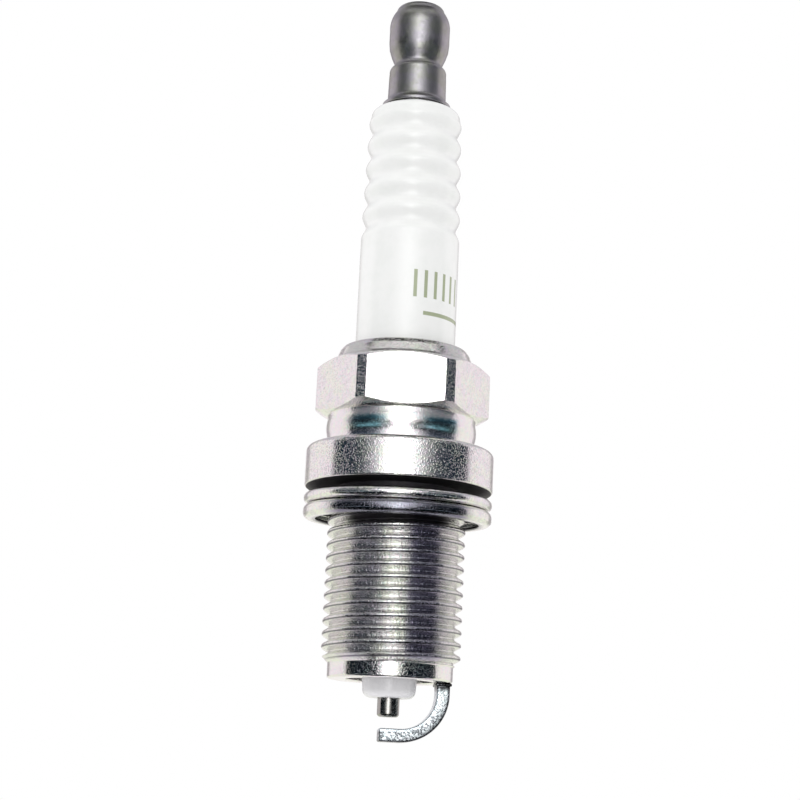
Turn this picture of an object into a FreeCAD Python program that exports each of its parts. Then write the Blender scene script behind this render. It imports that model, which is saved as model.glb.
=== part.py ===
import FreeCAD, Part
import math
import os

# Spark plug: M14 x 1.25 shank with a 19 mm reach, 16 mm hexagon, folded ring gasket.
# Millimetres. The axis is Z. The seat face of the shell is z = 0, the terminal is at +Z
# and the firing end at -Z, with the side strap near +X.

# Threaded shank
reach = 19.0
thread_r = 6.925
thread_pitch = 1.25
thread_root_height = -6.22      # a thread root crosses the -Y side here
relief_length = 1.70
pilot_length = 1.50
pilot_step = 0.02               # pilot and relief are this much below the thread root
tip_bore_r = 4.30
tip_pocket_depth = 12.20        # from the end of the shank up to the ledge

# Flange, neck, hexagon and rolled lip
flange_thickness = 4.10
flange_edge_r = 0.60
neck_height = 3.15
neck_depth = 0.43               # from a hexagon flat in to the neck
neck_bulge = 0.14
neck_fillet = 0.40
hex_flats = 15.76               # for a 16 mm socket
hex_height = 5.61
hex_corner_cut = 0.30           # turned off the sharp corners
hex_end_slope = 0.52            # rise over run of the turned ends
hex_land = 0.50                 # flat ring inside each turned end
lip_wall = 1.08
lip_height = 1.43
lip_step = 0.19                 # from the end of the hexagon up to the lip
lip_sheet = 0.72                # thickness of the rolled edge
lip_play = 0.21                 # from the rolled edge to the insulator

# Bores of the shell
middle_bore_r = 4.70
ledge_width = 0.85
ledge_height = 1.00

# Folded ring gasket, kept on by its inner fold and hanging on the end of the thread
gasket_sheet = 0.35
gasket_bend_r = 0.08            # inside of each outer bend
gasket_catch = 0.105            # inner fold below the thread crests
gasket_width = 2.65
gasket_height = 2.65
gasket_upper_height = 1.12      # of the upper of the two folds
gasket_fold_gap = 0.08          # between the two folds
gasket_upper_lip = 0.48         # edge of the top layer, outside the inner fold
gasket_lower_lip = 1.38         # edge of the bottom layer, outside the inner fold
gasket_play = 0.03              # to the seat and to the thread
gasket_tilt = 2.1               # degrees the loose ring hangs down on the -Y side

# Side strap
strap_width = 2.60
strap_thickness = 1.30
strap_bend_r = 3.45             # inside of the bend
strap_overhang = 0.90           # how far the tip passes the axis
strap_turn = 10.0               # degrees about Z, from +X towards +Y
strap_edge_r = 0.18
weld_width = 0.15
weld_height = 0.28

# Insulator
nose_projection = 1.67          # below the end of the shank
nose_r = 2.58
nose_root_gap = 0.30            # from the nose root out to the bore of the ledge
nose_root_drop = 1.55           # below the top of the seat cone
cone_inset = 0.13               # end of the seat cone, inside the bore of the ledge
nose_round = 0.65
barrel_r = 5.10
core_play = 0.08                # to the middle bore
shoulder_play = 0.08            # to the body bore
shoulder_length = 5.00
shoulder_slope = 1.25
exposed_length = 25.72          # above the lip
column_bore_r = 2.05
rib_count = 5
rib_pitch = 2.55
rib_depth = 0.42
rib_margin = 2.70               # top groove to the end of the insulator
rib_taper = 0.022               # radius lost per millimetre of ribbed length
top_inset = 0.43
top_round = 0.75

# Centre electrode and the column above it
electrode_r = 1.09
electrode_projection = 1.83     # below the insulator nose
electrode_play = 0.05
electrode_head_play = 0.10
electrode_head_height = 1.47
copper_r = 0.60
copper_cover = 1.60             # solid tip below the copper
column_play = 0.02
spark_gap = 1.10
lower_seal_length = 4.85
resistor_length = 8.00
upper_seal_length = 4.20
stud_in_seal = 2.80
stud_foot_length = 4.20
stud_play = 0.20                # shank to the bore of the insulator
stud_foot_step = 0.40           # from the shank in to the foot
foot_ring_pitch = 0.60
foot_ring_depth = 0.12

# Terminal
collar_r = 3.45
collar_height = 0.40
m4_r = 1.97
m4_pitch = 0.70
m4_length = 8.00
nut_play = 0.13                 # bore of the nut over the M4 thread
nut_lift = 0.02                 # open face between nut and collar
nut_headroom = 0.30
nut_flare = 0.58
nut_flare_height = 0.86
nut_skirt_r = 3.00
nut_skirt_height = 2.97
nut_shoulder_height = 1.05
nut_waist_r = 2.52
nut_barrel_r = 3.175
nut_lower_taper = 1.60
nut_barrel_length = 2.30
nut_crown_height = 2.60
nut_crown_r = 1.93

# Packing between shell and insulator
packing_gap = 0.80              # from the insulator out to the body bore
packing_play = 0.03             # each side of the wire
packing_length = 2.28           # between the middles of the two wire rings
packing_under_lip = 0.58        # middle of the upper ring below the rolled edge
shoulder_drop = 0.83            # from the lower ring down to the shoulder
washer_thickness = 0.60         # along the axis
face_play = 0.02
edge_break = 0.15

# Heights and radii that follow from the sizes above
thread_depth = 0.548 * thread_pitch
thread_root_r = thread_r - thread_depth
pilot_r = thread_root_r - pilot_step
gasket_inner_r = thread_r - gasket_catch
gasket_outer_r = gasket_inner_r + gasket_width
flange_r = gasket_outer_r
neck_r = hex_flats / 2 - neck_depth
body_bore_r = barrel_r + packing_gap
packing_wire_r = packing_gap / 2 - packing_play
lip_r = body_bore_r + lip_wall
hex_sharp_r = hex_flats / 2 / math.cos(math.radians(30))
hex_corner_r = hex_sharp_r - hex_corner_cut
hex_bottom = flange_thickness + neck_height
hex_top = hex_bottom + hex_height
lip_base = hex_top + lip_step
lip_top = lip_base + lip_height
lip_inner_r = barrel_r + lip_play
ledge_bore_r = middle_bore_r - ledge_width
ledge_top = -reach + tip_pocket_depth
core_r = middle_bore_r - core_play
shoulder_r = body_bore_r - shoulder_play
upper_ring_z = lip_top - lip_sheet - packing_under_lip
lower_ring_z = upper_ring_z - packing_length
packing_r = (barrel_r + body_bore_r) / 2
shoulder_top = lower_ring_z - packing_wire_r - shoulder_drop
shoulder_bottom = shoulder_top - shoulder_length
seat_rise = ledge_top + core_r - ledge_bore_r + washer_thickness + 2 * face_play
cone_r = ledge_bore_r - cone_inset
nose_root_r = ledge_bore_r - nose_root_gap
nose_end = -reach - nose_projection
insulator_top = lip_top + exposed_length
electrode_bore_r = electrode_r + electrode_play
electrode_head_r = column_bore_r - electrode_head_play
electrode_end = nose_end - electrode_projection
head_seat = seat_rise
head_top = head_seat + electrode_head_height
resistor_bottom = head_top + lower_seal_length
resistor_top = resistor_bottom + resistor_length
upper_seal_top = resistor_top + upper_seal_length
stud_end = upper_seal_top - stud_in_seal
stud_shank_r = column_bore_r - stud_play
stud_foot_r = stud_shank_r - stud_foot_step
collar_top = insulator_top + collar_height
m4_root_r = m4_r - 0.571 * m4_pitch
stud_top = collar_top + m4_length
nut_bottom = collar_top + nut_lift

origin = FreeCAD.Vector(0, 0, 0)
axis = FreeCAD.Vector(0, 0, 1)


def point(r, z):
    return FreeCAD.Vector(r, 0, z)


def turned(path):
    """Solid turned about Z. A path step is (r, z), or (r, z, r_mid, z_mid) for an arc."""
    edges = []
    here = point(*path[0])
    for step in path[1:] + path[:1]:
        there = point(step[0], step[1])
        if len(step) == 4:
            edges.append(Part.Arc(here, point(step[2], step[3]), there).toShape())
        elif there.distanceToPoint(here) > 1e-6:
            edges.append(Part.LineSegment(here, there).toShape())
        here = there
    return Part.Face(Part.Wire(edges)).revolve(origin, axis, 360)


def rounded(centre_r, centre_z, radius, start, end):
    """Arc step that ends at the angle 'end', in degrees, round a given centre."""
    middle = math.radians((start + end) / 2)
    last = math.radians(end)
    return (centre_r + radius * math.cos(last), centre_z + radius * math.sin(last),
            centre_r + radius * math.cos(middle), centre_z + radius * math.sin(middle))


def helical_groove(pitch, crest_r, root_r, z_low, z_high, z_root):
    """Cutter for a right-hand 60 degree thread, with a root at z_root on the -Y side."""
    turns_down = math.ceil((z_root - z_low) / pitch) + 1
    start = z_root - turns_down * pitch
    height = math.ceil((z_high - start) / pitch) * pitch
    over = 0.12 * pitch
    slope = math.tan(math.radians(30))
    root_half = 0.1 * pitch
    top_half = root_half + (crest_r + over - root_r) * slope
    corners = [point(root_r, -root_half), point(crest_r + over, -top_half),
               point(crest_r + over, top_half), point(root_r, root_half)]
    tooth = Part.makePolygon(corners + corners[:1])
    path = Part.makeLongHelix(pitch, height, root_r)
    groove = Part.Wire(path.Edges).makePipeShell([tooth], True, True)
    groove.rotate(origin, axis, -90)
    groove.translate(FreeCAD.Vector(0, 0, start))
    return groove


def make_shell():
    crest_top = -relief_length - (thread_r - pilot_r)
    crest_bottom = -reach + pilot_length + (thread_r - pilot_r)
    foot_r = hex_flats / 2 - hex_land / 2
    corner_low = hex_bottom + (hex_corner_r - foot_r) * hex_end_slope
    corner_high = hex_top - (hex_corner_r - hex_flats / 2 + hex_land) * hex_end_slope
    edge = flange_edge_r
    neck_top = hex_bottom - neck_fillet
    fillet = min(neck_fillet, foot_r - neck_r)
    lip_round = lip_r - body_bore_r + 0.03
    blank = turned([
        (tip_bore_r, -reach + edge_break),
        (tip_bore_r + edge_break, -reach),
        (pilot_r - edge_break, -reach),
        (pilot_r, -reach + edge_break),
        (pilot_r, -reach + pilot_length),
        (thread_r, crest_bottom),
        (thread_r, crest_top),
        (pilot_r, -relief_length),
        (pilot_r, 0),
        (flange_r - edge_break, 0),
        (flange_r, edge_break),
        (flange_r, flange_thickness - edge),
        rounded(flange_r - edge, flange_thickness - edge, edge, 0, 90),
        (neck_r + neck_fillet, flange_thickness),
        rounded(neck_r + neck_fillet, flange_thickness + neck_fillet, neck_fillet, -90, -180),
        (neck_r, neck_top, neck_r + neck_bulge, (flange_thickness + hex_bottom) / 2),
        rounded(neck_r + fillet, neck_top, fillet, 180, 110),
        (foot_r, hex_bottom),
        (hex_corner_r, corner_low),
        (hex_corner_r, corner_high),
        (hex_flats / 2 - hex_land, hex_top),
        (lip_r, lip_base),
        (lip_r, lip_top - lip_round),
        rounded(lip_r - lip_round, lip_top - lip_round, lip_round, 0, 90),
        (lip_inner_r + edge_break, lip_top - edge_break / 2),
        (lip_inner_r, lip_top - 1.5 * edge_break),
        (lip_inner_r, lip_top - lip_sheet),
        (body_bore_r, lip_top - lip_sheet - (body_bore_r - lip_inner_r) * 0.64),
        (body_bore_r, shoulder_bottom - edge_break),
        (middle_bore_r, shoulder_bottom - edge_break - body_bore_r + middle_bore_r),
        (middle_bore_r, ledge_top + ledge_width),
        (ledge_bore_r, ledge_top),
        (ledge_bore_r, ledge_top - ledge_height),
        (tip_bore_r, ledge_top - ledge_height - tip_bore_r + ledge_bore_r),
    ])
    groove = helical_groove(thread_pitch, thread_r, thread_root_r,
                            crest_bottom - thread_depth, crest_top + thread_depth,
                            thread_root_height)
    blank = blank.cut(groove)
    # The flats: what lies outside the hexagon is taken off between neck and lip.
    height = lip_base - hex_bottom
    collar = Part.makeCylinder(hex_corner_r + 1, height, point(0, hex_bottom))
    corners = [FreeCAD.Vector(hex_sharp_r * math.cos(math.radians(60 * i)),
                              hex_sharp_r * math.sin(math.radians(60 * i)), hex_bottom)
               for i in range(7)]
    prism = Part.Face(Part.makePolygon(corners)).extrude(FreeCAD.Vector(0, 0, height))
    return blank.cut(collar.cut(prism))


def make_gasket():
    """A strip of sheet folded into four layers: two flat-sided folds outside, one within."""
    top = -gasket_play
    upper_end = top - gasket_upper_height
    lower_start = upper_end - gasket_fold_gap
    bottom = top - gasket_height
    sheet = gasket_sheet
    small = gasket_bend_r
    large = small + sheet
    bend = gasket_outer_r - large
    fold_small = gasket_fold_gap / 2
    fold_large = fold_small + sheet
    turn_in = gasket_inner_r + fold_large
    fold_z = (upper_end + lower_start) / 2
    upper_lip = gasket_inner_r + gasket_upper_lip
    lower_lip = gasket_inner_r + gasket_lower_lip
    ring = turned([
        (upper_lip, top),
        (bend, top),
        rounded(bend, top - large, large, 90, 0),
        (gasket_outer_r, upper_end + large),
        rounded(bend, upper_end + large, large, 0, -90),
        (turn_in, upper_end),
        rounded(turn_in, fold_z, fold_small, 90, 270),
        (bend, lower_start),
        rounded(bend, lower_start - large, large, 90, 0),
        (gasket_outer_r, bottom + large),
        rounded(bend, bottom + large, large, 0, -90),
        (lower_lip, bottom),
        (lower_lip, bottom + sheet),
        (bend, bottom + sheet),
        rounded(bend, bottom + large, small, -90, 0),
        (bend + small, lower_start - large),
        rounded(bend, lower_start - large, small, 0, 90),
        (turn_in, lower_start - sheet),
        rounded(turn_in, fold_z, fold_large, 270, 90),
        (bend, upper_end + sheet),
        rounded(bend, upper_end + large, small, -90, 0),
        (bend + small, top - large),
        rounded(bend, top - large, small, 0, 90),
        (upper_lip, top - sheet),
    ])
    # It hangs with its inner fold on the slope at the end of the thread, low at the front,
    # and tips up flat against its seat about a line far behind the axis.
    lean = math.sin(math.radians(gasket_tilt))
    nearest_r = turn_in - (top - fold_z) * lean
    slope_room = (fold_large + gasket_play) * math.sqrt(2) - (nearest_r - pilot_r)
    drop = relief_length + fold_z - turn_in * lean - slope_room
    line_y = drop / lean
    ring.rotate(FreeCAD.Vector(0, line_y, top), FreeCAD.Vector(1, 0, 0), gasket_tilt)
    return ring


def make_strap():
    """Bent rectangular wire, welded to the shank, with its end below the electrode."""
    a, b = strap_thickness / 2, strap_width / 2
    leg_r = (tip_bore_r + pilot_r) / 2
    bend_r = strap_bend_r + a
    low_z = electrode_end - spark_gap - a
    bend_z = low_z + bend_r
    centre_r = leg_r - bend_r
    diagonal = bend_r * math.sqrt(0.5)
    leg = Part.LineSegment(point(leg_r, -reach), point(leg_r, bend_z))
    bend = Part.Arc(point(leg_r, bend_z), point(centre_r + diagonal, bend_z - diagonal),
                    point(centre_r, low_z))
    end = Part.LineSegment(point(centre_r, low_z), point(-strap_overhang, low_z))
    path = Part.Wire([leg.toShape(), bend.toShape(), end.toShape()])
    section = Part.makePlane(2 * a, 2 * b, FreeCAD.Vector(leg_r - a, -b, -reach))
    bar = path.makePipeShell([section.OuterWire], True, False)
    bar = bar.makeFillet(strap_edge_r, [e for e in bar.Edges if runs_along(e, b)])
    flash = Part.makeBox(2 * (a + weld_width), 2 * (b + weld_width), weld_height,
                         FreeCAD.Vector(leg_r - a - weld_width, -b - weld_width,
                                        -reach - weld_height))
    lower_edges = [e for e in flash.Edges if e.CenterOfMass.z < -reach - 0.9 * weld_height]
    bar = bar.fuse(flash.makeChamfer(0.8 * weld_width, lower_edges)).removeSplitter()
    bar.rotate(origin, axis, strap_turn)
    return bar


def runs_along(edge, side):
    """True for the strap's long edges, which lie at +side or -side in Y."""
    if abs(abs(edge.CenterOfMass.y) - side) > 1e-4:
        return False
    at_root = all(abs(v.Z + reach) < 1e-4 for v in edge.Vertexes)
    at_tip = all(abs(v.X + strap_overhang) < 1e-4 for v in edge.Vertexes)
    return not (at_root or at_tip)


def make_insulator():
    quarter = rib_pitch / 4
    last_groove = insulator_top - rib_margin
    first_groove = last_groove - (rib_count - 1) * rib_pitch

    def crest(z):
        return barrel_r - rib_taper * max(0.0, z - first_groove)

    start = first_groove - quarter
    ribs = [(barrel_r, start - quarter),
            (crest(start) - rib_depth / 2, start, barrel_r - rib_depth / 8, start - quarter / 2)]
    for i in range(rib_count):
        z = first_groove + i * rib_pitch
        ribs.append((crest(z + quarter) - rib_depth / 2, z + quarter, crest(z) - rib_depth, z))
        if i < rib_count - 1:
            ribs.append((crest(z + 3 * quarter) - rib_depth / 2, z + 3 * quarter,
                         crest(z + 2 * quarter), z + 2 * quarter))
    top_r = barrel_r - top_inset
    end = last_groove + quarter
    ribs.append((top_r + 0.14, end + quarter, crest(end + quarter) - 0.06, end + 0.7 * quarter))
    return turned([
        (electrode_bore_r, nose_end + edge_break),
        (electrode_bore_r + edge_break, nose_end),
        (nose_r - nose_round, nose_end),
        rounded(nose_r - nose_round, nose_end + nose_round, nose_round, -90, 0),
        (nose_root_r, seat_rise - nose_root_drop),
        (cone_r, seat_rise - core_r + cone_r),
        (core_r, seat_rise),
        (core_r, shoulder_bottom - shoulder_r + core_r),
        (shoulder_r, shoulder_bottom),
        (shoulder_r, shoulder_top),
        (barrel_r, shoulder_top + shoulder_r - barrel_r),
    ] + ribs + [
        (top_r, insulator_top - top_round),
        rounded(top_r - top_round, insulator_top - top_round, top_round, 0, 90),
        (column_bore_r + 2 * edge_break, insulator_top),
        (column_bore_r, insulator_top - 2 * edge_break),
        (column_bore_r, head_seat + column_bore_r - electrode_bore_r),
        (electrode_bore_r, head_seat),
    ])


def make_electrode():
    """Nickel sheath with a headed top, hollow for its copper core."""
    seat = head_seat + face_play
    break_r = 0.3 * electrode_head_height
    return turned([
        (0, electrode_end),
        (electrode_r - edge_break, electrode_end),
        (electrode_r, electrode_end + edge_break),
        (electrode_r, seat),
        (electrode_head_r, seat + electrode_head_r - electrode_r),
        (electrode_head_r, head_top - break_r),
        (electrode_head_r - break_r, head_top),
        (copper_r + column_play, head_top),
        (copper_r + column_play, electrode_end + copper_cover),
        (0, electrode_end + copper_cover),
    ])


def make_copper_core():
    low = electrode_end + copper_cover + column_play
    return turned([(0, low), (copper_r - edge_break, low), (copper_r, low + edge_break),
                   (copper_r, head_top), (0, head_top)])


def column_slug(z_low, z_high):
    return Part.makeCylinder(column_bore_r - column_play, z_high - z_low, point(0, z_low))


def make_upper_seal():
    """Fused glass round the foot of the terminal stud."""
    pocket = Part.makeCylinder(stud_foot_r + column_play, stud_in_seal + 1,
                               point(0, stud_end - column_play))
    return column_slug(resistor_top, upper_seal_top).cut(pocket)


def make_stud():
    """Terminal stud: ringed foot, shank, collar on the insulator and M4 end."""
    foot_top = stud_end + stud_foot_length
    dip = foot_ring_depth
    foot = [(0, stud_end), (stud_foot_r - 2 * dip, stud_end), (stud_foot_r, stud_end + 2 * dip)]
    rings = int((stud_foot_length - 4 * dip) / foot_ring_pitch)
    for i in range(rings):
        z = stud_end + 3 * dip + i * foot_ring_pitch
        foot += [(stud_foot_r, z), (stud_foot_r - dip, z + dip),
                 (stud_foot_r - dip, z + 2 * dip), (stud_foot_r, z + 3 * dip)]
    bevel = 0.06
    neck = 0.25
    stud = turned(foot + [
        (stud_foot_r, foot_top),
        (stud_shank_r, foot_top + stud_shank_r - stud_foot_r),
        (stud_shank_r, insulator_top),
        (collar_r - bevel, insulator_top),
        (collar_r, insulator_top + bevel),
        (collar_r, collar_top - bevel),
        (collar_r - bevel, collar_top),
        (m4_root_r - bevel, collar_top),
        (m4_root_r - bevel, collar_top + neck),
        (m4_r, collar_top + neck + m4_r - m4_root_r),
        (m4_r, stud_top - 0.5),
        (m4_r - 0.5, stud_top),
        (0, stud_top),
    ])
    groove = helical_groove(m4_pitch, m4_r, m4_root_r, collar_top + 0.45, stud_top + m4_pitch,
                            collar_top + 1.2)
    above = Part.makeCylinder(m4_r + m4_pitch, m4_length + 4 * m4_pitch,
                              point(0, collar_top + bevel))
    return stud.cut(groove.common(above))


def make_nut():
    """Snap-on barrel for the cap, open below for the M4 stud."""
    bore_r = m4_r + nut_play
    bore_top = stud_top + nut_headroom
    skirt_low = nut_bottom + nut_flare_height
    skirt_top = skirt_low + nut_skirt_height
    waist = skirt_top + nut_shoulder_height
    barrel_low = waist + nut_lower_taper
    barrel_high = barrel_low + nut_barrel_length
    crown_top = barrel_high + nut_crown_height
    flare_r = nut_skirt_r + nut_flare
    middle_r = (nut_barrel_r + nut_crown_r) / 2
    return turned([
        (bore_r + 2 * edge_break, nut_bottom),
        (flare_r, nut_bottom),
        (flare_r, nut_bottom + 0.4 * nut_flare_height),
        (nut_skirt_r + 0.07, skirt_low, nut_skirt_r + 0.45 * nut_flare,
         nut_bottom + 0.65 * nut_flare_height),
        (nut_skirt_r - 0.02, skirt_top),
        (nut_waist_r + 0.10, waist - 0.38, nut_skirt_r - 0.10, skirt_top + 0.42),
        (nut_waist_r, waist - 0.10),
        (nut_waist_r, waist + 0.10),
        (nut_barrel_r, barrel_low),
        (nut_barrel_r, barrel_high),
        (middle_r, crown_top - 0.62, nut_barrel_r - 0.16, crown_top - 1.42),
        (nut_crown_r, crown_top, middle_r - 0.23, crown_top - 0.16),
        (0, crown_top),
        (0, bore_top + bore_r * 0.3),
        (bore_r, bore_top),
        (bore_r, nut_bottom + 2 * edge_break),
    ])


def packing_ring(z):
    return Part.makeTorus(packing_r, packing_wire_r, point(0, z))


def make_talc():
    inner, outer = barrel_r + face_play, body_bore_r - face_play
    low = lower_ring_z + packing_wire_r + face_play
    high = upper_ring_z - packing_wire_r - face_play
    return turned([(inner, low), (outer, low), (outer, high), (inner, high)])


def make_seat_washer():
    """Conical washer that carries the insulator on the ledge of the shell."""
    inner, outer = ledge_bore_r + core_play, core_r - core_play / 2
    under = ledge_top - ledge_bore_r + face_play
    over = seat_rise - core_r - face_play
    return turned([(inner, inner + under), (outer, outer + under),
                   (outer, outer + over), (inner, inner + over)])


parts = {
    "metal_shell": make_shell(),
    "gasket": make_gasket(),
    "ground_electrode": make_strap(),
    "insulator": make_insulator(),
    "centre_electrode": make_electrode(),
    "copper_core": make_copper_core(),
    "lower_glass_seal": column_slug(head_top, resistor_bottom),
    "resistor_element": column_slug(resistor_bottom, resistor_top),
    "upper_glass_seal": make_upper_seal(),
    "terminal_stud": make_stud(),
    "terminal_nut": make_nut(),
    "seat_packing_washer": make_seat_washer(),
    "lower_packing_ring": packing_ring(lower_ring_z),
    "talc_packing": make_talc(),
    "upper_packing_ring": packing_ring(upper_ring_z),
}

os.makedirs("parts", exist_ok=True)
for name, shape in parts.items():
    solid = shape.Solids[0] if len(shape.Solids) == 1 else shape
    box = solid.BoundBox
    print(name, "solids %d" % len(shape.Solids), "volume %.2f" % solid.Volume,
          "z %.2f to %.2f" % (box.ZMin, box.ZMax))
    solid.exportStep("parts/%s.step" % name)
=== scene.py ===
import math
import bpy
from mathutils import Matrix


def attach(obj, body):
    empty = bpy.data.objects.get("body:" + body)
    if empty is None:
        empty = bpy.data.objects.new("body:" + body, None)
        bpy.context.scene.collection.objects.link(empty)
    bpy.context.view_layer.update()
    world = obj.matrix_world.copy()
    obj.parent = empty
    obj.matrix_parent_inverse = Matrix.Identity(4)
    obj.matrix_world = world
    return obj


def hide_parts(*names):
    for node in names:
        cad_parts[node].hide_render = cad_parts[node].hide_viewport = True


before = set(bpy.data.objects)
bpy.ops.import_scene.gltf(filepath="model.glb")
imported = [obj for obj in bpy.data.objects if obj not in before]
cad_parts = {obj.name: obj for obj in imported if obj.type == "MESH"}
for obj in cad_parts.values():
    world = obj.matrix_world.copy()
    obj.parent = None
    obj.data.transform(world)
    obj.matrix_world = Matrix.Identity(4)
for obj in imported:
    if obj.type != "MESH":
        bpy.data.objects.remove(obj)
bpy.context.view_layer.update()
mm = 0.001
fullTurn = 2 * math.pi
flankSlope = math.sqrt(3)  # a thread's flanks stand 30 degrees from the radius
frontTurn = 0.75           # the front lies three quarters of a turn from the X axis
mergeGap = 0.0004 * mm     # vertices closer than this become one


def deselectAll():
    if bpy.context.mode != "OBJECT":
        bpy.ops.object.mode_set(mode="OBJECT")
    bpy.ops.object.select_all(action="DESELECT")


def pick(piece):
    deselectAll()
    piece.select_set(True)
    bpy.context.view_layer.objects.active = piece


def editAll():
    # edit mode with the whole mesh selected
    bpy.ops.object.mode_set(mode="EDIT")
    bpy.ops.mesh.select_all(action="SELECT")


def mergeAll():
    bpy.ops.mesh.select_all(action="SELECT")
    bpy.ops.mesh.remove_doubles(threshold=mergeGap)


def applyPlace():
    bpy.ops.object.transform_apply(location=True, rotation=True, scale=True)


def turnMesh(degrees, axis, centre=(0, 0, 0)):
    # with no window the operator turns the other way, hence the minus
    editAll()
    bpy.ops.transform.rotate(value=math.radians(-degrees), orient_axis=axis,
                             center_override=centre)
    bpy.ops.object.mode_set(mode="OBJECT")


def onArc(centre, radius, angle):
    return centre[0] + radius * math.cos(angle), centre[1] + radius * math.sin(angle)


def arcThrough(start, middle, end, steps):
    # points of the circle through three points, without the first
    (ax, ay), (bx, by), (cx, cy) = start, middle, end
    d = 2 * (ax * (by - cy) + bx * (cy - ay) + cx * (ay - by))
    a2, b2, c2 = ax * ax + ay * ay, bx * bx + by * by, cx * cx + cy * cy
    ox = (a2 * (by - cy) + b2 * (cy - ay) + c2 * (ay - by)) / d
    oy = (a2 * (cx - bx) + b2 * (ax - cx) + c2 * (bx - ax)) / d
    radius = math.hypot(ax - ox, ay - oy)
    first = math.atan2(ay - oy, ax - ox)
    half = (math.atan2(by - oy, bx - ox) - first) % fullTurn
    whole = (math.atan2(cy - oy, cx - ox) - first) % fullTurn
    if half > whole:
        whole -= fullTurn
    return [onArc((ox, oy), radius, first + whole * i / steps) for i in range(1, steps + 1)]


def rounded(before, corner, after, stepAngle=11):
    # the corner (r, z, rounding) as points of its arc, a step for every 11 degrees
    x, y, radius = corner
    ux, uy = before[0] - x, before[1] - y
    vx, vy = after[0] - x, after[1] - y
    lu, lv = math.hypot(ux, uy), math.hypot(vx, vy)
    ux, uy, vx, vy = ux / lu, uy / lu, vx / lv, vy / lv
    inside = math.acos(max(-1, min(1, ux * vx + uy * vy)))
    nearlyStraight = math.pi - 0.02
    if inside > nearlyStraight:
        return [(x, y)]
    slope = math.tan(inside / 2)
    mostOfSide = 0.49  # two roundings on one side never meet
    reach = min(radius / slope, mostOfSide * lu, mostOfSide * lv)
    radius = reach * slope
    bx, by = ux + vx, uy + vy
    away = radius / math.sin(inside / 2) / math.hypot(bx, by)
    centre = (x + bx * away, y + by * away)
    first = math.atan2(y + uy * reach - centre[1], x + ux * reach - centre[0])
    last = math.atan2(y + vy * reach - centre[1], x + vx * reach - centre[0])
    turn = (last - first + math.pi) % fullTurn - math.pi
    steps = max(2, round(abs(math.degrees(turn)) / stepAngle))
    return [onArc(centre, radius, first + turn * k / steps) for k in range(steps + 1)]


def softened(points):
    # rounds each corner given as (r, z, rounding); a plain (r, z) stays as it is
    path = []
    for i, point in enumerate(points):
        sharp = len(point) == 2
        path += [point] if sharp else rounded(points[i - 1], point, points[(i + 1) % len(points)])
    return path


def drawOutline(name, path):
    # a plane merged to one vertex, then extruded round the closed path in the XZ plane
    deselectAll()
    bpy.ops.mesh.primitive_plane_add(size=mm, location=(path[0][0] * mm, 0, path[0][1] * mm))
    piece = bpy.context.object
    piece.name = name
    applyPlace()
    editAll()
    bpy.ops.mesh.merge(type="CENTER")
    here = path[0]
    for there in path[1:] + path[:1]:
        step = ((there[0] - here[0]) * mm, 0, (there[1] - here[1]) * mm)
        bpy.ops.mesh.extrude_vertices_move(TRANSFORM_OT_translate={"value": step})
        here = there
    mergeAll()
    return piece


def turnedPiece(name, path, steps):
    # the closed path goes round the Z axis in so many steps
    piece = drawOutline(name, path)
    bpy.ops.mesh.select_all(action="SELECT")
    bpy.ops.mesh.spin(steps=steps, angle=fullTurn, center=(0, 0, 0), axis=(0, 0, 1))
    mergeAll()
    bpy.ops.mesh.normals_make_consistent(inside=False)
    bpy.ops.object.mode_set(mode="OBJECT")
    return piece


def woundPiece(name, section, pitch, turns, low, stepsPerTurn):
    # the Screw modifier winds the closed section upwards, and both ends are capped
    piece = drawOutline(name, section)
    bpy.ops.mesh.select_all(action="SELECT")
    bpy.ops.transform.translate(value=(0, 0, low * mm))
    bpy.ops.object.mode_set(mode="OBJECT")
    screw = piece.modifiers.new("wind", "SCREW")
    screw.axis = "Z"
    screw.angle = fullTurn
    screw.screw_offset = pitch * mm
    screw.iterations = turns
    screw.steps = screw.render_steps = stepsPerTurn
    screw.use_smooth_shade = False
    pick(piece)
    bpy.ops.object.modifier_apply(modifier=screw.name)
    bpy.ops.object.mode_set(mode="EDIT")
    bpy.ops.mesh.select_mode(type="EDGE")
    mergeAll()
    bpy.ops.mesh.select_all(action="DESELECT")
    bpy.ops.mesh.select_non_manifold(extend=False, use_wire=False, use_boundary=True,
                                     use_multi_face=False, use_non_contiguous=False,
                                     use_verts=False)
    bpy.ops.mesh.fill_holes(sides=0)
    bpy.ops.mesh.select_all(action="SELECT")
    bpy.ops.mesh.normals_make_consistent(inside=False)
    bpy.ops.mesh.select_mode(type="VERT")
    bpy.ops.object.mode_set(mode="OBJECT")
    return piece


def combine(piece, tool, operation):
    boolean = piece.modifiers.new("combine", "BOOLEAN")
    boolean.operation = operation
    boolean.solver = "MANIFOLD"
    boolean.object = tool
    pick(piece)
    bpy.ops.object.modifier_apply(modifier=boolean.name)
    bpy.data.objects.remove(tool, do_unlink=True)


def cutThread(piece, section, s, span, trim, ringR, stepsPerTurn):
    # winds a groove past both heights of the span, trims it to a ring and takes it out
    start = s["rootHeight"] - frontTurn * s["pitch"]
    low = start - math.ceil((start - span[0]) / s["pitch"]) * s["pitch"]
    turns = math.ceil((span[1] - low) / s["pitch"]) + 1
    groove = woundPiece("threadGroove", section, s["pitch"], turns, low, stepsPerTurn)
    ring = [(ringR[0], trim[0]), (ringR[1], trim[0]), (ringR[1], trim[1]), (ringR[0], trim[1])]
    combine(groove, turnedPiece("grooveLimit", ring, 64), "INTERSECT")
    combine(piece, groove, "DIFFERENCE")


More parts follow.
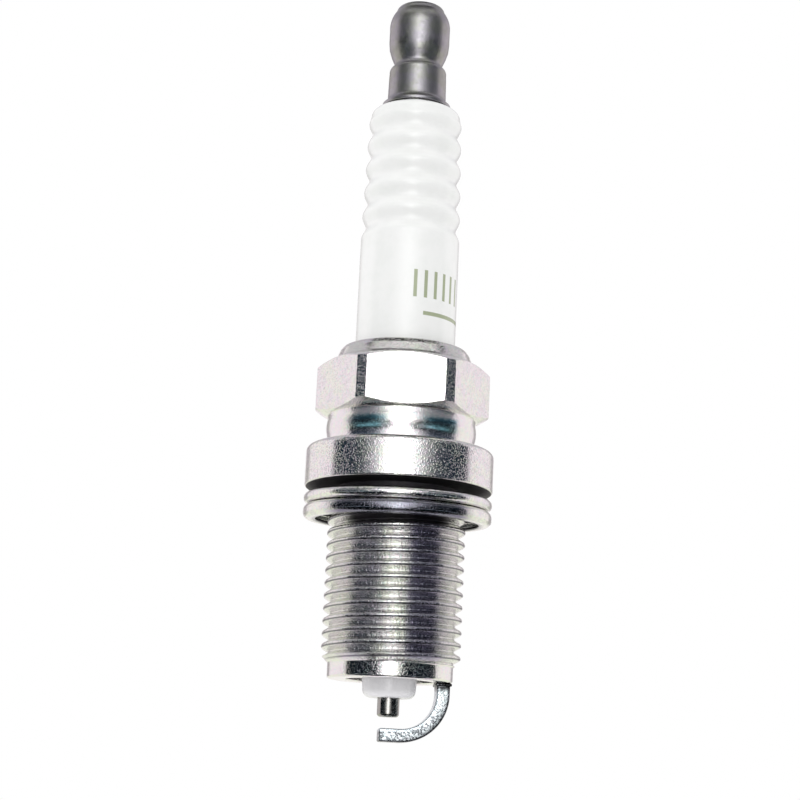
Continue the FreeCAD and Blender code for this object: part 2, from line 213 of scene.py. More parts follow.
def bevelSharp(piece, wanted, offset, segments, sharpness):
    # rounds the sharp edges whose middle passes the test 'wanted'
    pick(piece)
    bpy.ops.object.mode_set(mode="EDIT")
    bpy.ops.mesh.select_mode(type="EDGE")
    bpy.ops.mesh.select_all(action="DESELECT")
    bpy.ops.mesh.edges_select_sharp(sharpness=math.radians(sharpness))
    bpy.ops.object.mode_set(mode="OBJECT")
    count = 0
    for edge in piece.data.edges:
        if edge.select:
            a, b = (piece.data.vertices[i].co for i in edge.vertices)
            edge.select = wanted((a + b) / (2 * mm))
            count += edge.select
    bpy.ops.object.mode_set(mode="EDIT")
    bpy.ops.mesh.bevel(offset=offset * mm, segments=segments, affect="EDGES", profile=0.5,
                       clamp_overlap=True)
    bpy.ops.mesh.select_mode(type="VERT")
    bpy.ops.object.mode_set(mode="OBJECT")
    print(piece.name, "edges rounded", count)


def finishPiece(piece, body, material, nodes, smoothAngle):
    pick(piece)
    bpy.ops.object.shade_smooth_by_angle(angle=math.radians(smoothAngle))
    normals = piece.modifiers.new("normals", "WEIGHTED_NORMAL")
    normals.keep_sharp = True
    normals.weight = 100
    bpy.ops.object.modifier_apply(modifier=normals.name)
    piece.data.materials.clear()
    piece.data.materials.append(material)
    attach(piece, body)
    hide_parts(*nodes)
    print(piece.name, "faces", len(piece.data.polygons))
    deselectAll()


class Signal:
    # a node socket that can be added, multiplied and fed into other nodes
    def __init__(self, tree, socket):
        self.tree = tree
        self.socket = socket

    def node(self, kind, inputs, output=0, **settings):
        # the settings first, then a value or a link for each input
        made = self.tree.nodes.new(kind)
        for key, value in settings.items():
            setattr(made, key, value)
        for key, value in inputs.items():
            if isinstance(value, Signal):
                self.tree.links.new(value.socket, made.inputs[key])
            else:
                made.inputs[key].default_value = value
        return Signal(self.tree, made.outputs[output])

    def maths(self, operation, *others):
        return self.node("ShaderNodeMath", dict(enumerate((self, *others))), operation=operation)

    def __add__(self, other):
        return self.maths("ADD", other)

    def __sub__(self, other):
        return self.maths("SUBTRACT", other)

    def __mul__(self, other):
        return self.maths("MULTIPLY", other)

    def __truediv__(self, other):
        return self.maths("DIVIDE", other)

    def __rsub__(self, other):
        return self.node("ShaderNodeMath", {0: other, 1: self}, operation="SUBTRACT")

    def __rtruediv__(self, other):
        return self.node("ShaderNodeMath", {0: other, 1: self}, operation="DIVIDE")

    def __neg__(self):
        return self * -1.0

    __radd__ = __add__
    __rmul__ = __mul__

    def ramp(self, low, high, curve="SMOOTHSTEP"):
        # 0 below low, 1 above high
        return self.node("ShaderNodeMapRange", {"Value": self, "From Min": low, "From Max": high},
                         interpolation_type=curve, clamp=True)

    def between(self, low, high, soft):
        return self.ramp(low - soft, low + soft) * (1.0 - self.ramp(high - soft, high + soft))

    def bell(self):
        # 1 at 0, falling off on both sides
        return (self * self * -0.5).maths("EXPONENT")

    def tint(self, first, second):
        # the first colour where this signal is 0, the second where it is 1
        first, second = (c if isinstance(c, Signal) else (*c, 1.0) for c in (first, second))
        return self.node("ShaderNodeMix", {0: self, 6: first, 7: second}, output=2,
                         data_type="RGBA")

    def plus(self, other):
        # a sum of two colours
        return self.node("ShaderNodeVectorMath", {0: self, 1: other}, operation="ADD")

    def noise(self, scale, detail, roughness, stretch=(1, 1, 1)):
        # scale in features per millimetre
        place = self.node("ShaderNodeMapping", {"Vector": self,
                                                "Scale": tuple(s / mm for s in stretch)})
        return self.node("ShaderNodeTexNoise", {"Vector": place, "Scale": scale,
                                                "Detail": detail, "Roughness": roughness})

    def parts(self):
        return [self.node("ShaderNodeSeparateXYZ", {0: self}, output=i) for i in range(3)]

    def millimetres(self):
        return [part / mm for part in self.parts()]


def fromAxis(x, y):
    return (x * x + y * y).maths("SQRT")


def newMaterial(name, metallic, roughness, colour, coat=0.0):
    # a Principled material and its Object coordinates, ready to be wired
    material = bpy.data.materials.new(name)
    material.use_nodes = True
    tree = material.node_tree
    shader = tree.nodes["Principled BSDF"]
    shader.inputs["Metallic"].default_value = metallic
    shader.inputs["Roughness"].default_value = roughness
    shader.inputs["Base Color"].default_value = (*colour, 1.0)
    shader.inputs["Coat Weight"].default_value = coat
    coordinates = tree.nodes.new("ShaderNodeTexCoord")
    return material, shader, Signal(tree, coordinates.outputs["Object"])


def wire(shader, **signals):
    for name, signal in signals.items():
        signal.tree.links.new(signal.socket, shader.inputs[name.replace("_", " ")])


def bumped(height, strength, distance):
    return height.node("ShaderNodeBump", {"Height": height, "Strength": strength,
                                          "Distance": distance * mm})


platingLook = {
    "colour": (0.86, 0.815, 0.825), "cream": (0.86, 0.86, 0.79),
    "teal": (0.50, 0.80, 0.80), "violet": (0.80, 0.60, 0.82), "hue": 0.32,
    "roughness": (0.05, 0.15), "slope": 0.022, "pits": 0.6, "pitShade": 0.35,
    # features per millimetre, how the other noises follow the grain, and shares of the bump
    "cloud": 0.55, "blotch": 1.7, "grain": 6.8, "fineTimes": 2.7, "hueTimes": 0.8,
    "hueMore": 0.37, "riseShare": 0.6, "fineShare": 0.12,
    # where each noise sets in and where it is full
    "creamFrom": (0.42, 0.60), "tealFrom": (0.52, 0.66), "violetFrom": (0.34, 0.48),
    "pitsFrom": (0.60, 0.74), "dullFrom": (0.38, 0.68), "riseFrom": (0.50, 0.68),
}


def brightMetal(name, look, stretch=(1, 1, 1), shade=None, texture=None):
    # plated or rolled metal: colour clouds, bright and dark grain, a few dull patches
    material, shader, place = newMaterial(name, 1.0, look["roughness"][0], look["colour"])
    cloud = place.noise(look["cloud"], 3.0, 0.6)
    grain = place.noise(look["grain"], 1.0, 0.5, stretch)
    fine = place.noise(look["grain"] * look["fineTimes"], 2.0, 0.6, stretch)
    blotch = place.noise(look["blotch"], 3.0, 0.65)
    hueScale = look["grain"] * look["hueTimes"] + look["hueMore"]
    hueGrain = place.noise(hueScale, 2.0, 0.6, stretch)
    base = cloud.ramp(*look["creamFrom"]).tint(look["colour"], look["cream"])
    base = (hueGrain.ramp(*look["tealFrom"]) * look["hue"]).tint(base, look["teal"])
    violetShare = (1.0 - hueGrain.ramp(*look["violetFrom"])) * look["hue"]
    base = violetShare.tint(base, look["violet"])
    pits = fine.ramp(*look["pitsFrom"]) * look["pits"]
    base = pits.tint(base, tuple(c * look["pitShade"] for c in look["colour"]))
    if shade:
        base = shade(base, place, cloud, grain)
    low, high = look["roughness"]
    rough = blotch.ramp(*look["dullFrom"]) * (high - low) + low
    height = grain.ramp(*look["riseFrom"]) * look["riseShare"] + fine * look["fineShare"]
    if texture:
        share, extra = texture(place)
        height = height * share
        rough = rough + extra
    wire(shader, Base_Color=base, Roughness=rough,
         Normal=bumped(height, 1.0, look["slope"]))
    return material


# the parts that are closed in: name, colour, roughness, metallic, features per millimetre,
# how much darker the clouds are, and bump
innerLooks = {
    "copper_core": ("copperCore", (0.80, 0.42, 0.28), 0.28, 1.0, 2.0, 0.2, 0.2),
    "lower_glass_seal": ("lowerGlass", (0.10, 0.11, 0.10), 0.3, 0.0, 3.0, 0.5, 0.3),
    "upper_glass_seal": ("upperGlass", (0.12, 0.12, 0.11), 0.3, 0.0, 3.0, 0.5, 0.3),
    "resistor_element": ("resistorMix", (0.05, 0.05, 0.06), 0.6, 0.0, 4.0, 0.6, 0.5),
    "seat_packing_washer": ("seatWasher", (0.66, 0.65, 0.64), 0.35, 1.0, 3.0, 0.2, 0.2),
    "lower_packing_ring": ("lowerRing", (0.62, 0.61, 0.60), 0.35, 1.0, 3.0, 0.2, 0.2),
    "upper_packing_ring": ("upperRing", (0.62, 0.61, 0.60), 0.35, 1.0, 3.0, 0.2, 0.2),
    "talc_packing": ("talcPowder", (0.78, 0.76, 0.72), 0.85, 0.0, 5.0, 0.15, 0.6),
}


def innerMaterial(name, colour, roughness, metallic, scale, contrast, bump):
    material, shader, place = newMaterial(name, metallic, roughness, colour)
    cloud = place.noise(scale, 4.0, 0.65)
    dark = tuple(c * (1 - contrast) for c in colour)
    wire(shader, Base_Color=cloud.ramp(0.35, 0.65).tint(colour, dark),
         Roughness=cloud * 0.15 + (roughness - 0.05),
         Normal=bumped(place.noise(scale * 6, 2.0, 0.5), bump, 0.01))
    return material


for nodeName, look in innerLooks.items():
    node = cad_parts[nodeName]
    node.data.materials.clear()
    node.data.materials.append(innerMaterial(*look))
print("inner materials", len(innerLooks))


shellSizes = {
    "pilotR": 6.22, "pilotLength": 1.5, "crestR": 6.925, "rootR": 6.24, "pitch": 1.25,
    "rootHeight": -6.22, "crestRound": 0.30, "reliefLength": 1.70,
    "grooveSpan": (-17.6, -1.55), "grooveTrim": (-18.2, -1.55), "grooveR": (5.5, 8.0),
    "flangeR": 9.47, "flangeTop": 4.10, "flangeRound": 0.60,
    "neckR": 7.45, "neckFoot": 5.0, "neckBulge": 0.14, "bulgeHeights": (5.05, 6.0, 6.95),
    "hexFlats": 15.76, "cornerR": 8.80, "hexLow": 7.25, "hexHigh": 12.86,
    "slope": 0.52, "land": 0.50, "hexEdge": 0.07,
    "lipR": 6.98, "lipLow": 13.05, "lipTop": 14.48, "lipInner": 5.31, "lipSheet": 0.72,
    "lipRoll": ((0.32, 0.59), (0.62, 0.16), (1.00, 0.0)),  # how far in and down it curls
    "bodyBore": 5.90, "middleBore": 4.70, "ledgeBore": 3.85, "ledgeTop": -6.80,
    "ledgeDeep": 1.0, "shoulder": 4.59, "tipBore": 4.30, "end": -19.0,
}

shellPaint = {
    # painted bluish reflections on the neck, partly the blue tint of the plating: degrees from
    # the front, then heights and colours
    "bandTurn": (17.0, 42.0), "bandSoft": 7.0, "bandR": (7.75, 8.2),
    "bandDrift": 14.0, "bandGrain": 0.35, "bandWave": 0.5,
    "bands": (((5.75, 6.35, 0.28), (0.16, 0.38, 0.46)),
              ((5.05, 5.75, 0.18), (0.42, 0.74, 0.80)),
              ((4.30, 5.00, 0.15), (0.66, 0.68, 0.76))),
    # the rolled thread: cream, painted dark reflections left and right of the front, painted
    # shade in a line under each crest, a painted dark reflection at the front right
    "rolled": (-17.2, -1.9, 0.2), "cream": (0.70, 0.72, 0.67), "creamShare": 0.34,
    "left": (-4.3, -1.7, 0.8), "leftShare": 0.3, "right": (1.3, 4.1, 0.6), "rightShare": 0.6,
    "flank": (0.20, 0.18, 0.32),
    "line": (0.35, 0.47, 0.035), "lineShare": 0.8, "crestShade": (0.10, 0.09, 0.13),
    "frontRightShadeSide": (1.8, 5.4, 1.0), "frontRightShadeFront": (-4.0, -1.5), "frontRightShadeCloud": (0.3, 0.5),
    "frontRightShadeShare": 0.4, "frontRightShade": (0.24, 0.23, 0.30),
    # painted shade on the seat face, on the relief below it and on the first turn
    "seatShadeLow": (-3.3, -2.3), "seatShadeTop": (0.0, 0.06), "seatShadeR": (9.28, 9.42),
    "firstTurn": (-3.95, -2.0, 0.25), "firstSide": (4.2, 5.8),
    "seatShadeShare": 0.93, "seatShade": (0.06, 0.055, 0.065),
    # grain and extra roughness
    "rolledGrain": (-17.3, -1.9, 0.15), "pilotGrain": (-17.5, -17.2),
    "neckGrain": (4.2, 7.2, 0.12), "grainShare": 0.6,
    "neckRough": 0.08, "rolledRough": -0.02, "seatShadeRough": 0.5,
}


def neckReflectionBands(base, place, cloud, grain):
    # painted bluish reflection bands on both sides of the front and of the back, partly the blue
    # tint of the plating
    p = shellPaint
    x, y, z = place.millimetres()
    turn = x.maths("ARCTAN2", -y).maths("ABSOLUTE") * (180 / math.pi)
    turn = turn + (cloud - 0.5) * p["bandDrift"]
    high = z + (grain - 0.5) * p["bandGrain"] + (cloud - 0.5) * p["bandWave"]
    near, far = p["bandTurn"]
    atBack = turn.between(180.0 - far, 180.0 - near, p["bandSoft"])
    patch = turn.between(near, far, p["bandSoft"]).maths("MAXIMUM", atBack)
    patch = patch * (1.0 - fromAxis(x, y).ramp(*p["bandR"]))
    for heights, colour in p["bands"]:
        base = (patch * high.between(*heights)).tint(base, colour)
    return base


def threadTints(base, place, cloud):
    p = shellPaint
    x, y, z = place.millimetres()
    rolled = z.between(*p["rolled"])
    base = (rolled * p["creamShare"]).tint(base, p["cream"])
    # painted dark reflections on the thread left and right of the front
    left = x.between(*p["left"]) * rolled
    right = x.between(*p["right"]) * rolled
    base = (left * p["leftShare"] + right * p["rightShare"]).tint(base, p["flank"])
    # the line winds with the thread: 0 in one root, 1 in the next
    winding = (z - shellSizes["rootHeight"]) / shellSizes["pitch"] + frontTurn
    winding = (winding - y.maths("ARCTAN2", x) / fullTurn).maths("FRACT")
    # painted shade in a thin line under each crest
    line = winding.between(*p["line"]) * rolled
    base = (line * p["lineShare"]).tint(base, p["crestShade"])
    # a painted dark reflection over the front right of the thread, patchy with the clouds
    frontRightShade = x.between(*p["frontRightShadeSide"]) * (1.0 - y.ramp(*p["frontRightShadeFront"])) * rolled
    return (frontRightShade * cloud.ramp(*p["frontRightShadeCloud"]) * p["frontRightShadeShare"]).tint(base, p["frontRightShade"])


def paintedSeatShade(place):
    # painted shade under the flange, under the ring and on the front and back of the first turn
    p = shellPaint
    x, y, z = place.millimetres()
    seat = z.ramp(*p["seatShadeLow"]) * (1.0 - z.ramp(*p["seatShadeTop"]))
    seat = seat * (1.0 - fromAxis(x, y).ramp(*p["seatShadeR"]))
    firstTurn = z.between(*p["firstTurn"]) * (1.0 - x.maths("ABSOLUTE").ramp(*p["firstSide"]))
    return seat.maths("MAXIMUM", firstTurn)


def shellShade(base, place, cloud, grain):
    base = neckReflectionBands(base, place, cloud, grain)
    base = threadTints(base, place, cloud)
    # painted shade on the seat and the first turn
    return (paintedSeatShade(place) * shellPaint["seatShadeShare"]).tint(base, shellPaint["seatShade"])


def shellTexture(place):
    # share of the grain and extra roughness: rolled thread, plain pilot, heated neck, painted
    # seat shade
    p = shellPaint
    x, y, z = place.millimetres()
    rolled = z.between(*p["rolledGrain"])
    pilot = 1.0 - z.ramp(*p["pilotGrain"])
    neck = z.between(*p["neckGrain"]) * (1.0 - fromAxis(x, y).ramp(*p["bandR"]))
    extra = neck * p["neckRough"] + rolled * p["rolledRough"] + paintedSeatShade(place) * p["seatShadeRough"]
    return 1.0 + (rolled - pilot - neck) * p["grainShare"], extra


def shellOutline(s):
    rise = s["crestR"] - s["pilotR"]
    halfFlats = s["hexFlats"] / 2
    foot = halfFlats - s["land"] / 2
    cornerLow = s["hexLow"] + (s["cornerR"] - foot) * s["slope"]
    cornerHigh = s["hexHigh"] - (s["cornerR"] - halfFlats + s["land"]) * s["slope"]
    low, middle, high = s["bulgeHeights"]
    bulge = arcThrough((s["neckR"], low), (s["neckR"] + s["neckBulge"], middle),
                       (s["neckR"], high), 10)
    lipUnder = s["lipTop"] - s["lipSheet"]
    return softened([
        (s["tipBore"], s["end"], 0.14),
        (s["pilotR"], s["end"], 0.26),
        (s["pilotR"], s["end"] + s["pilotLength"], 0.10),
        (s["crestR"], s["end"] + s["pilotLength"] + rise, 0.16),
        (s["crestR"], -s["reliefLength"] - rise, 0.16),
        (s["pilotR"], -s["reliefLength"], 0.12),
        (s["pilotR"], 0, 0.12),
        (s["flangeR"], 0, 0.18),
        (s["flangeR"], s["flangeTop"], s["flangeRound"]),
        (s["neckR"] + 0.05, s["flangeTop"], 0.20),
        (s["neckR"], s["neckFoot"]),
    ] + bulge[:-1] + [
        (s["neckR"], s["hexLow"] - 0.02, 0.22),
        (foot, s["hexLow"], 0.12),
        (s["cornerR"], cornerLow),
        (s["cornerR"], cornerHigh),
        (halfFlats - s["land"], s["hexHigh"], 0.14),
        (s["lipR"], s["lipLow"], 0.10),
    ] + [(s["lipR"] - inward, s["lipTop"] - down, 0.30) for inward, down in s["lipRoll"]] + [
        (s["lipInner"], s["lipTop"] - 0.06, 0.18),
        (s["lipInner"], lipUnder, 0.05),
        (s["bodyBore"], lipUnder - 0.38, 0.05),
        (s["bodyBore"], s["shoulder"] + 1.0, 0.1),
        (s["middleBore"], s["shoulder"] - 0.2, 0.1),
        (s["middleBore"], s["ledgeTop"] + s["middleBore"] - s["ledgeBore"], 0.05),
        (s["ledgeBore"], s["ledgeTop"], 0.08),
        (s["ledgeBore"], s["ledgeTop"] - s["ledgeDeep"], 0.08),
        (s["tipBore"], s["ledgeTop"] - s["ledgeDeep"] - s["tipBore"] + s["ledgeBore"], 0.08),
    ])


def hexagonCollar(s):
    # what lies outside the six flats, as a ring
    tall = s["lipLow"] - s["hexLow"]
    middle = (s["lipLow"] + s["hexLow"]) / 2 * mm
    deselectAll()
    bpy.ops.mesh.primitive_cylinder_add(vertices=6, radius=s["hexFlats"] / math.sqrt(3) * mm,
                                        depth=(tall + 2) * mm, location=(0, 0, middle))
    prism = bpy.context.object
    applyPlace()
    turnMesh(-30, "Z")
    deselectAll()
    bpy.ops.mesh.primitive_cylinder_add(vertices=96, radius=(s["cornerR"] + 1) * mm,
                                        depth=(tall - 0.04) * mm,
                                        location=(0, 0, middle + 0.01 * mm))
    collar = bpy.context.object
    applyPlace()
    combine(collar, prism, "DIFFERENCE")
    return collar


def shankGroove(s):
    # half of two rounded crests and the hollow root between them
    crest, root, crestRound = s["crestR"], s["rootR"], s["crestRound"]
    halfPitch = s["pitch"] / 2
    side = [onArc((crest - crestRound, halfPitch), crestRound, math.radians(-a))
            for a in (6, 16, 27, 38, 49, 60)]
    hollow = halfPitch * flankSlope - crestRound - (crest - root)
    valley = [onArc((root + hollow, 0), hollow, math.radians(180 - a))
              for a in (60, 48, 36, 24, 12)]
    upper = [(crest + 0.5, side[0][1])] + side + valley
    return upper + [(root, 0)] + [(r, -z) for r, z in reversed(upper)]


def modelShell(s):
    shell = turnedPiece("plugShell", shellOutline(s), 192)
    combine(shell, hexagonCollar(s), "DIFFERENCE")

    def onHexagon(p):
        outside = math.hypot(p.x, p.y) > s["hexFlats"] / 2 - 0.3
        return outside and s["hexLow"] + 0.06 < p.z < s["hexHigh"] + 0.05

    bevelSharp(shell, onHexagon, s["hexEdge"], segments=2, sharpness=12)
    cutThread(shell, shankGroove(s), s, s["grooveSpan"], s["grooveTrim"], s["grooveR"], 96)
    return shell


plating = brightMetal("brightZincPlate", platingLook, shade=shellShade, texture=shellTexture)
shell = modelShell(shellSizes)
finishPiece(shell, "plug", plating, ["metal_shell"], 30)
print("shell done")


gasketSizes = {
    "sheet": 0.35, "innerR": 6.82, "outerR": 9.47, "top": -0.03, "upper": 1.16, "gap": 0.05,
    "height": 2.65, "bend": 0.57, "fold": 0.36, "creaseR": 7.24, "creaseDeep": 0.02,
    "upperLip": 7.30, "lowerLip": 8.20, "tilt": 2.1, "lineY": 16.3554,
}

gasketLook = dict(platingLook, colour=(0.80, 0.77, 0.79), roughness=(0.08, 0.2), slope=0.014)

gasketPaint = {
    # a painted dark reflection on the lower fold, in front and behind
    "lowerFoldShadeLow": (-2.40, -2.05), "lowerFoldShadeSide": (5.6, 7.6), "lowerFoldShadeShare": 0.82,
    "lowerFoldShade": (0.12, 0.12, 0.17),
    # painted shade inside the folds
    "insideR": (8.3, 8.8), "insideShare": 0.88, "inside": (0.10, 0.095, 0.11),
}


def gasketShade(base, place, cloud, grain):
    # a painted dark reflection on the lower fold in front and behind, painted shade inside the
    # folds
    p = gasketPaint
    x, y, z = place.millimetres()
    # a painted dark reflection on the lower fold, in front and behind
    lowerFoldShade = (1.0 - z.ramp(*p["lowerFoldShadeLow"])) * (1.0 - x.maths("ABSOLUTE").ramp(*p["lowerFoldShadeSide"]))
    base = (lowerFoldShade * p["lowerFoldShadeShare"]).tint(base, p["lowerFoldShade"])
    # painted shade on the inner part of the ring, in the folds and underneath
    inside = 1.0 - fromAxis(x, y).ramp(*p["insideR"])
    return (inside * p["insideShare"]).tint(base, p["inside"])


def modelGasket(s):
    top, sheet, large = s["top"], s["sheet"], s["bend"]
    small = large - sheet
    upperEnd = top - s["upper"]
    lowerStart = upperEnd - s["gap"]
    bottom = top - s["height"]
    crease = (s["creaseR"], upperEnd)
    outline = softened([
        (s["upperLip"], top, 0.10),
        (s["outerR"], top, large),
        (s["outerR"], upperEnd, large),
        crease,
    ] + arcThrough(crease, (s["creaseR"] - s["creaseDeep"], upperEnd - s["gap"] / 2),
                   (s["creaseR"], lowerStart), 6) + [
        (s["outerR"], lowerStart, large),
        (s["outerR"], bottom, large),
        (s["lowerLip"], bottom, 0.12),
        (s["lowerLip"], bottom + sheet, 0.08),
        (s["outerR"] - sheet, bottom + sheet, small),
        (s["outerR"] - sheet, lowerStart - sheet, small),
        (s["innerR"], lowerStart - sheet, s["fold"]),
        (s["innerR"], upperEnd + sheet, s["fold"]),
        (s["outerR"] - sheet, upperEnd + sheet, small),
        (s["outerR"] - sheet, top - sheet, small),
        (s["upperLip"], top - sheet, 0.08),
    ])
    outline.remove(crease)  # it only gives the rounding before it a direction
    ring = turnedPiece("foldedGasket", outline, 192)
    turnMesh(s["tilt"], "X", (0, s["lineY"] * mm, top * mm))
    return ring


gasketMetal = brightMetal("foldedSteelRing", gasketLook, shade=gasketShade)
gasket = modelGasket(gasketSizes)
finishPiece(gasket, "ring", gasketMetal, ["gasket"], 40)
print("gasket done")


strapSizes = {
    "width": 2.60, "thickness": 1.30, "legR": 5.26, "top": -19.0, "sunk": 0.02,
    "centreZ": -24.25, "bendR": 4.10, "tip": -0.90, "turn": 3.0, "edge": 0.18,
    "weldWide": 0.15, "weldHigh": 0.28, "weldEdge": 0.10,
}

strapLook = dict(platingLook, colour=(0.66, 0.70, 0.715), cream=(0.62, 0.67, 0.68),
                 teal=(0.46, 0.60, 0.60), violet=(0.56, 0.50, 0.60), roughness=(0.20, 0.34),
                 grain=5.0, slope=0.030, pits=0.45)

strapPaint = {
    # painted shade on the bend, mottled by the grain
    "bendShadeLow": (-22.6, -20.9), "bendShadeGrain": (0.36, 0.56), "bendShadeShare": 0.72,
    "scale": (0.085, 0.09, 0.105),
    # a painted highlight on the inner edge
    "innerHighlightFrom": (0.20, 0.36), "innerHighlight": (0.76, 0.84, 0.88),
    # painted shade on the outer face
    "backFrom": (-0.26, -0.08), "backShare": 0.85, "back": (0.10, 0.10, 0.12),
    # painted shade at the top of the leg, next to the weld
    "weldShadeFrom": (-20.0, -19.4), "weldShadeGrain": 0.4, "weldShadeLeast": 0.75,
    "weldShade": (0.03, 0.028, 0.03),
}


def strapShade(base, place, cloud, grain):
    # painted shade on the bend, mottled by the grain; a painted highlight on the inner edge;
    # painted shade on the outer face; painted shade next to the weld
    s, p = strapSizes, strapPaint
    x, z = place.millimetres()[::2]
    out = (x - (s["legR"] - s["bendR"])).maths("MAXIMUM", 0.0)
    down = (s["centreZ"] + s["bendR"] - z).maths("MAXIMUM", 0.0)
    distance = fromAxis(out, down)
    inner, outer = s["bendR"] - s["thickness"] / 2, s["bendR"] + s["thickness"] / 2
    # painted shade on the bend below the leg, mottled by the grain
    scale = (1.0 - z.ramp(*p["bendShadeLow"])) * grain.ramp(*p["bendShadeGrain"])
    base = (scale * p["bendShadeShare"]).tint(base, p["scale"])
    # a painted highlight on the inner edge of the strap
    innerHighlight = 1.0 - distance.ramp(*[inner + v for v in p["innerHighlightFrom"]])
    base = innerHighlight.tint(base, p["innerHighlight"])
    # painted shade on the outer face of the strap
    back = distance.ramp(*[outer + v for v in p["backFrom"]])
    base = (back * p["backShare"]).tint(base, p["back"])
    # painted shade at the top of the leg, next to the weld
    weldShade = z.ramp(*p["weldShadeFrom"]) * (grain * p["weldShadeGrain"] + p["weldShadeLeast"])
    return weldShade.maths("MINIMUM", 1.0).tint(base, p["weldShade"])


def weldBead(s):
    deselectAll()
    bpy.ops.mesh.primitive_cube_add(size=1, location=(0, 0, 0))
    bead = bpy.context.object
    wide = 2 * s["weldWide"]
    bead.scale = ((s["thickness"] + wide) * mm, (s["width"] + wide) * mm, s["weldHigh"] * mm)
    bead.location = (s["legR"] * mm, 0, (s["top"] - s["weldHigh"] / 2 - s["sunk"] / 2) * mm)
    applyPlace()
    editAll()
    bpy.ops.mesh.bevel(offset=s["weldEdge"] * mm, segments=3, affect="EDGES")
    bpy.ops.object.mode_set(mode="OBJECT")
    return bead


def modelStrap(s):
    # a leg, a quarter bend and a straight end, all from one face
    bendTop = s["centreZ"] + s["bendR"]
    bendX = s["legR"] - s["bendR"]
    legTop = s["top"] - s["sunk"]
    deselectAll()
    bpy.ops.mesh.primitive_plane_add(size=1, location=(0, 0, 0))
    strap = bpy.context.object
    strap.name = "groundStrap"
    strap.scale = (s["thickness"] * mm, s["width"] * mm, 1)
    strap.location = (s["legR"] * mm, 0, legTop * mm)
    applyPlace()
    bpy.ops.object.mode_set(mode="EDIT")
    bpy.ops.mesh.select_mode(type="FACE")
    bpy.ops.mesh.select_all(action="SELECT")
    leg = (0, 0, (bendTop - legTop) * mm)
    bpy.ops.mesh.extrude_region_move(TRANSFORM_OT_translate={"value": leg})
    bpy.ops.mesh.spin(steps=24, angle=-math.pi / 2, center=(bendX * mm, 0, bendTop * mm),
                      axis=(0, 1, 0))
    straight = ((s["tip"] - bendX) * mm, 0, 0)
    bpy.ops.mesh.extrude_region_move(TRANSFORM_OT_translate={"value": straight})
    mergeAll()
    bpy.ops.mesh.normals_make_consistent(inside=False)
    bpy.ops.object.mode_set(mode="OBJECT")

    def alongStrap(p):
        atSide = abs(abs(p.y) - s["width"] / 2) < 0.01
        return atSide and p.x > s["tip"] + 0.01 and p.z < s["top"] - 0.05

    bevelSharp(strap, alongStrap, s["edge"], segments=4, sharpness=50)
    combine(strap, weldBead(s), "UNION")
    turnMesh(s["turn"], "Z")
    return strap


strapMetal = brightMetal("drawnNickelStrap", strapLook, shade=strapShade)
strap = modelStrap(strapSizes)
finishPiece(strap, "plug", strapMetal, ["ground_electrode"], 30)
print("strap done")


insulatorSizes = {
    "barrelR": 5.10, "noseR": 2.58, "noseEnd": -20.67, "noseRound": 1.15, "boreTip": 1.14,
    "ribFirst": 27.30, "ribPitch": 2.55, "ribs": 5, "ribDepth": 0.42, "ribSteps": 28,
    "taper": 0.022, "topR": 4.67, "top": 40.20, "topRound": 0.75, "bore": 2.05,
    # inside the shell
    "noseRootR": 3.55, "noseRootZ": -6.94, "coneR": 3.72, "coneZ": -6.29, "coreR": 4.62,
    "coneTop": -5.39, "coreTop": 3.46, "shoulderLow": 4.70, "shoulderTop": 9.70,
    "shoulderR": 5.82, "headSeat": -5.39,
}

glazeLook = {
    "colour": (0.92, 0.925, 0.915), "shade": (0.895, 0.905, 0.89), "coat": 0.08,
    "nose": (0.895, 0.885, 0.905), "noseFrom": (-3.0, 6.0),
    "roughness": (0.18, 0.23), "evenRoughness": 0.2,
    # features per millimetre of the clouds, the grain and the patchy print
    "cloud": 0.45, "fine": 18.0, "patch": 30.0, "shadeFrom": (0.42, 0.66), "bump": (0.12, 0.01),
    "leastInk": 0.62, "patchInk": 0.5,
    # a printed row of plain ticks over a line: round the barrel and up it
    "ink": (0.31, 0.36, 0.20), "ticks": 6, "tickFirst": 0.4, "tickStep": 1.1, "tickWide": 0.36,
    "tickHeights": (18.95, 21.80), "lineAround": (1.5, 7.4), "lineHeights": (17.15, 17.55),
}


def printedTicks(along, z, look):
    edge = 0.02
    ink = along.between(*look["lineAround"], edge) * z.between(*look["lineHeights"], edge)
    for i in range(look["ticks"]):
        start = look["tickFirst"] + i * look["tickStep"]
        tick = along.between(start, start + look["tickWide"], edge)
        ink = ink.maths("MAXIMUM", tick * z.between(*look["tickHeights"], edge))
    return ink


def glazedCeramic(look):
    low, high = look["roughness"]
    material, shader, place = newMaterial("glazedAlumina", 0.0, look["evenRoughness"],
                                          look["colour"], look["coat"])
    x, y, z = place.millimetres()
    cloud = place.noise(look["cloud"], 3.0, 0.6)
    fine = place.noise(look["fine"], 2.0, 0.5)
    base = cloud.ramp(*look["shadeFrom"]).tint(look["colour"], look["shade"])
    base = (1.0 - z.ramp(*look["noseFrom"])).tint(base, look["nose"])
    fromFront = y.maths("ARCTAN2", x) * (180 / math.pi) + 90.0
    along = fromFront * math.radians(insulatorSizes["barrelR"])
    patchy = place.noise(look["patch"], 2.0, 0.6) * look["patchInk"] + look["leastInk"]
    ink = (printedTicks(along, z, look) * patchy).maths("MINIMUM", 1.0)
    wire(shader, Base_Color=ink.tint(base, look["ink"]), Roughness=fine * (high - low) + low,
         Normal=bumped(cloud * 0.5 + fine * 0.5, *look["bump"]))
    return material


def insulatorRibs(s):
    # a wave on the barrel, which tapers a little
    start = s["ribFirst"] - s["ribPitch"] / 2
    count = s["ribs"] * s["ribSteps"]
    ribs = [(s["barrelR"], start)]
    for i in range(1, count):
        z = start + s["ribPitch"] * i / s["ribSteps"]
        wave = 0.5 - 0.5 * math.cos(fullTurn * i / s["ribSteps"])
        crest = s["barrelR"] - s["taper"] * max(0, z - s["ribFirst"])
        ribs.append((crest - s["ribDepth"] * wave, z))
    return ribs


